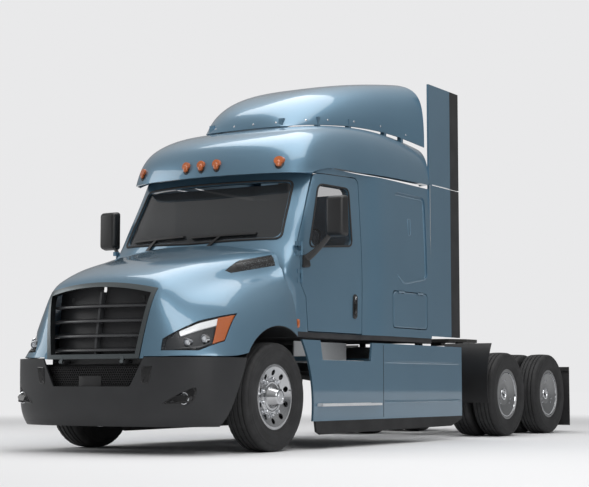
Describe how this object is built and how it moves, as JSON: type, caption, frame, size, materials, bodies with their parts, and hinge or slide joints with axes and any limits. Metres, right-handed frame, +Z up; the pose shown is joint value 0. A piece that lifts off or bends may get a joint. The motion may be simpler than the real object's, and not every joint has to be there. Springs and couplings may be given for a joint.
{
  "type": "semi truck tractor unit",
  "caption": "Conventional road tractor with sleeper cab, aerodynamic roof and side fairings, forward-tilting hood, twin drive axles and a fifth-wheel coupling.",
  "frame": {"origin": "on the ground under the middle of the truck's bounding box", "axes": "+Z up, the front faces -Y, +X is the truck's left side"},
  "size_m": [3.028, 8.5479, 4.0492],
  "materials": {
    "body_paint": "metallic gloss",
    "bumper_plastic": "textured matt",
    "grille_black": "gloss",
    "satin_grey": "satin",
    "lamp_glass": "clear",
    "amber_lens": "moulded lens",
    "red_lens": "moulded lens",
    "cab_glass": "tinted",
    "black_plastic": "satin",
    "chassis_steel": "satin",
    "engine_metal": "painted casting",
    "radiator_metal": "finned",
    "polished_wheel": "polished",
    "wheel_cover": "satin",
    "tyre_rubber": "ribbed",
    "tread_aluminium": "perforated tread",
    "tank_aluminium": "brushed",
    "rubber_trim": "matt",
    "coupling_steel": "greased",
    "cab_lining": "grained",
    "seat_fabric": "woven"
  },
  "bodies": {
    "chassis": {"frame_rails": "chassis_steel", "front_bumper": "bumper_plastic", "bumper_mesh": "grille_black", "radiator": "radiator_metal", "engine": "engine_metal", "driveshafts": "chassis_steel", "front_axle": "chassis_steel", "drive_axles": "chassis_steel", "suspension": "chassis_steel", "cab_front_frame": "body_paint", "sleeper_shell": "body_paint", "windshield": "cab_glass", "cab_floor": "black_plastic", "seats_and_bunk": "seat_fabric", "dashboard": "cab_lining", "roof_cap": "body_paint", "roof_fairing": "body_paint", "marker_lamps": "amber_lens", "side_extenders": "body_paint", "extender_edges": "rubber_trim", "chassis_fairings": "body_paint", "skirt_rubbers": "rubber_trim", "cab_steps": "tread_aluminium", "quarter_fenders": "black_plastic", "mud_flaps": "rubber_trim", "tail_lamps": "red_lens", "fifth_wheel_base": "coupling_steel", "fuel_tanks": "tank_aluminium", "wipers": "black_plastic"},
    "hood": {"hood": "body_paint", "wheel_well_liners": "black_plastic", "grille_surround": "satin_grey", "grille_louvres": "grille_black", "headlamps": "lamp_glass", "hood_vents": "black_plastic"},
    "door_left": {"door_left": "body_paint", "door_glass_left": "cab_glass", "mirror_left": "black_plastic"},
    "door_right": {"door_right": "body_paint", "door_glass_right": "cab_glass", "mirror_right": "black_plastic"},
    "baggage_door_left": {"baggage_door_left": "body_paint"},
    "baggage_door_right": {"baggage_door_right": "body_paint"},
    "fifth_wheel_plate": {"fifth_wheel_plate": "coupling_steel"},
    "knuckle_left": {"knuckle_left": "chassis_steel"},
    "knuckle_right": {"knuckle_right": "chassis_steel"},
    "tie_rod": {"tie_rod": "chassis_steel"},
    "front_wheel_left": {"front_wheel_left": "polished_wheel", "front_tyre_left": "tyre_rubber"},
    "front_wheel_right": {"front_wheel_right": "polished_wheel", "front_tyre_right": "tyre_rubber"},
    "drive_wheel_first_left": {"drive_wheel_first_left": "wheel_cover", "drive_tyres_first_left": "tyre_rubber"},
    "drive_wheel_first_right": {"drive_wheel_first_right": "wheel_cover", "drive_tyres_first_right": "tyre_rubber"},
    "drive_wheel_second_left": {"drive_wheel_second_left": "wheel_cover", "drive_tyres_second_left": "tyre_rubber"},
    "drive_wheel_second_right": {"drive_wheel_second_right": "wheel_cover", "drive_tyres_second_right": "tyre_rubber"}
  },
  "joints": [
    {"name": "hood_tilt", "type": "hinge", "parent": "chassis", "child": "hood", "pos_m": [0, -4.247, 0.826], "axis": [1, 0, 0], "range_deg": [0, 65]},
    {"name": "door_left_swing", "type": "hinge", "parent": "chassis", "child": "door_left", "pos_m": [1.131, -2.475, 1.8], "axis": [0, 0, -1], "range_deg": [0, 68]},
    {"name": "door_right_swing", "type": "hinge", "parent": "chassis", "child": "door_right", "pos_m": [-1.131, -2.475, 1.8], "axis": [0, 0, 1], "range_deg": [0, 68]},
    {"name": "baggage_left_lift", "type": "hinge", "parent": "chassis", "child": "baggage_door_left", "pos_m": [1.2, -0.33, 1.6106], "axis": [0, -1, 0], "range_deg": [0, 85]},
    {"name": "baggage_right_lift", "type": "hinge", "parent": "chassis", "child": "baggage_door_right", "pos_m": [-1.2, -0.33, 1.6106], "axis": [0, 1, 0], "range_deg": [0, 85]},
    {"name": "fifth_wheel_tilt", "type": "hinge", "parent": "chassis", "child": "fifth_wheel_plate", "pos_m": [0, 2.785, 1.132], "axis": [1, 0, 0], "range_deg": [-15, 15]},
    {"name": "steer_left", "type": "hinge", "parent": "chassis", "child": "knuckle_left", "pos_m": [0.885, -2.975, 0.508], "axis": [0, 0, 1], "range_deg": [-40, 40]},
    {"name": "steer_right", "type": "hinge", "parent": "chassis", "child": "knuckle_right", "pos_m": [-0.885, -2.975, 0.508], "axis": [0, 0, 1], "range_deg": [-40, 40]},
    {"name": "tie_rod_swing", "type": "hinge", "parent": "knuckle_left", "child": "tie_rod", "pos_m": [0.885, -2.765, 0.378], "axis": [0, 0, 1], "range_deg": [-40, 40]},
    {"name": "front_spin_left", "type": "hinge", "parent": "knuckle_left", "child": "front_wheel_left", "pos_m": [1.03, -2.975, 0.508], "axis": [1, 0, 0], "continuous": true},
    {"name": "first_spin_left", "type": "hinge", "parent": "chassis", "child": "drive_wheel_first_left", "pos_m": [0.91, 2.245, 0.508], "axis": [1, 0, 0], "continuous": true},
    {"name": "second_spin_left", "type": "hinge", "parent": "chassis", "child": "drive_wheel_second_left", "pos_m": [0.91, 3.565, 0.508], "axis": [1, 0, 0], "continuous": true},
    {"name": "front_spin_right", "type": "hinge", "parent": "knuckle_right", "child": "front_wheel_right", "pos_m": [-1.03, -2.975, 0.508], "axis": [1, 0, 0], "continuous": true},
    {"name": "first_spin_right", "type": "hinge", "parent": "chassis", "child": "drive_wheel_first_right", "pos_m": [-0.91, 2.245, 0.508], "axis": [1, 0, 0], "continuous": true},
    {"name": "second_spin_right", "type": "hinge", "parent": "chassis", "child": "drive_wheel_second_right", "pos_m": [-0.91, 3.565, 0.508], "axis": [1, 0, 0], "continuous": true}
  ],
  "couplings": [
    {"joint": "steer_right", "follows": "steer_left", "ratio": 1},
    {"joint": "tie_rod_swing", "follows": "steer_left", "ratio": -1}
  ]
}
